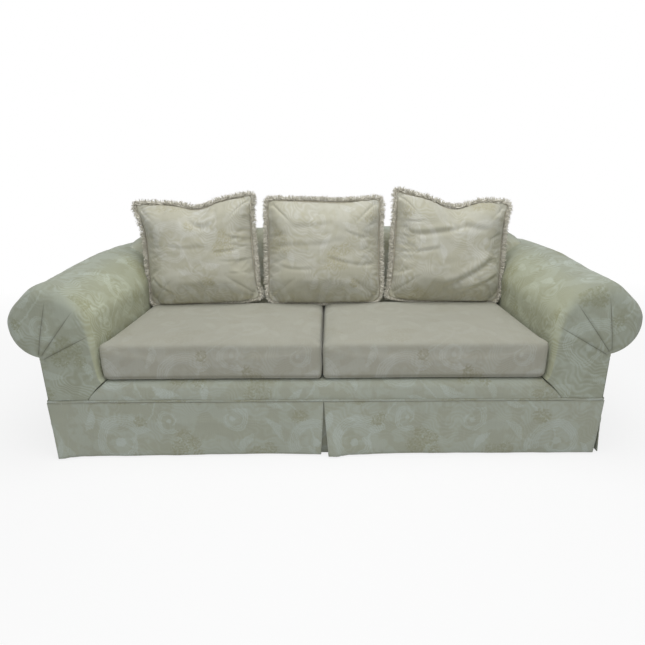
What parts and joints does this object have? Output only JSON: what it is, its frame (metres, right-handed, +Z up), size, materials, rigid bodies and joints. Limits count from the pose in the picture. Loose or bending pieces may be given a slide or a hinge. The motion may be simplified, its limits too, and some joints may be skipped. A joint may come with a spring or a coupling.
{
  "type": "sofa",
  "caption": "Skirted roll-arm sofa in tone-on-tone damask, with boxed seat cushions and loose fringed back pillows on a wooden frame with sprung seat.",
  "frame": {"origin": "on the floor under the middle of the sofa's bounding box", "axes": "+X along the seat to the right as seen from the front, +Y towards the back, +Z up"},
  "size_m": [2.424, 0.978, 1.0193],
  "materials": {
    "hardwood": "satin",
    "leg_wood": "satin",
    "steel": "satin",
    "spring_wire": "satin",
    "fibreboard": "matte",
    "jute": "matte",
    "padding": "matte",
    "deck_cloth": "matte",
    "dust_cloth": "matte",
    "damask": "matte",
    "cushion_damask": "matte",
    "pillow_damask": "matte",
    "fringe": "matte",
    "foam": "matte",
    "fibre_fill": "matte",
    "zip_tape": "matte",
    "zip_metal": "satin"
  },
  "bodies": {
    "sofa_body": {"front_rail": "hardwood", "back_rail": "hardwood", "side_rails": "hardwood", "centre_brace": "hardwood", "corner_blocks": "hardwood", "legs": "leg_wood", "leg_bolts": "steel", "glides": "steel", "arm_posts": "hardwood", "arm_boards": "hardwood", "arm_liners": "fibreboard", "back_posts": "hardwood", "back_top_rail": "hardwood", "back_tack_rail": "hardwood", "back_stiles": "hardwood", "seat_springs": "spring_wire", "spring_clips": "steel", "back_webbing": "jute", "seat_burlap": "jute", "deck_pad": "padding", "deck_cover": "deck_cloth", "lip_pad": "padding", "lip_cover": "damask", "back_pad": "padding", "inside_back_cover": "damask", "outside_back": "damask", "arm_pad_left": "padding", "arm_pad_right": "padding", "arm_cover_left": "damask", "arm_cover_right": "damask", "outside_arm_left": "damask", "outside_arm_right": "damask", "dust_cover": "dust_cloth", "skirt_front_left": "damask", "skirt_front_right": "damask", "skirt_left": "damask", "skirt_right": "damask", "skirt_back": "damask", "skirt_pleats": "damask", "skirt_band": "damask"},
    "seat_cushion_left": {"seat_foam_left": "foam", "seat_cover_left": "cushion_damask", "zip_left": "zip_tape"},
    "seat_cushion_right": {"seat_foam_right": "foam", "seat_cover_right": "cushion_damask", "zip_right": "zip_tape"},
    "zip_slider_left": {"zip_slider_left": "zip_metal"},
    "zip_slider_right": {"zip_slider_right": "zip_metal"},
    "pillow_left": {"pillow_fill_left": "fibre_fill", "pillow_cover_left": "pillow_damask", "pillow_fringe_left": "fringe"},
    "pillow_middle": {"pillow_fill_middle": "fibre_fill", "pillow_cover_middle": "pillow_damask", "pillow_fringe_middle": "fringe"},
    "pillow_right": {"pillow_fill_right": "fibre_fill", "pillow_cover_right": "pillow_damask", "pillow_fringe_right": "fringe"}
  },
  "joints": [
    {"name": "seat_cushion_left_lift_out", "type": "slide", "parent": "sofa_body", "child": "seat_cushion_left", "axis": [0, -1, 0], "range_m": [0, 0.66]},
    {"name": "seat_cushion_right_lift_out", "type": "slide", "parent": "sofa_body", "child": "seat_cushion_right", "axis": [0, -1, 0], "range_m": [0, 0.66]},
    {"name": "pillow_left_lift_off", "type": "slide", "parent": "sofa_body", "child": "pillow_left", "axis": [0, 0.2756, 0.9613], "range_m": [0, 0.52]},
    {"name": "pillow_middle_lift_off", "type": "slide", "parent": "sofa_body", "child": "pillow_middle", "axis": [0, 0.2756, 0.9613], "range_m": [0, 0.52]},
    {"name": "pillow_right_lift_off", "type": "slide", "parent": "sofa_body", "child": "pillow_right", "axis": [0, 0.2756, 0.9613], "range_m": [0, 0.52]},
    {"name": "zip_slider_left_travel", "type": "slide", "parent": "seat_cushion_left", "child": "zip_slider_left", "axis": [1, 0, 0], "range_m": [0, 0.57]},
    {"name": "zip_slider_right_travel", "type": "slide", "parent": "seat_cushion_right", "child": "zip_slider_right", "axis": [1, 0, 0], "range_m": [0, 0.57]}
  ]
}
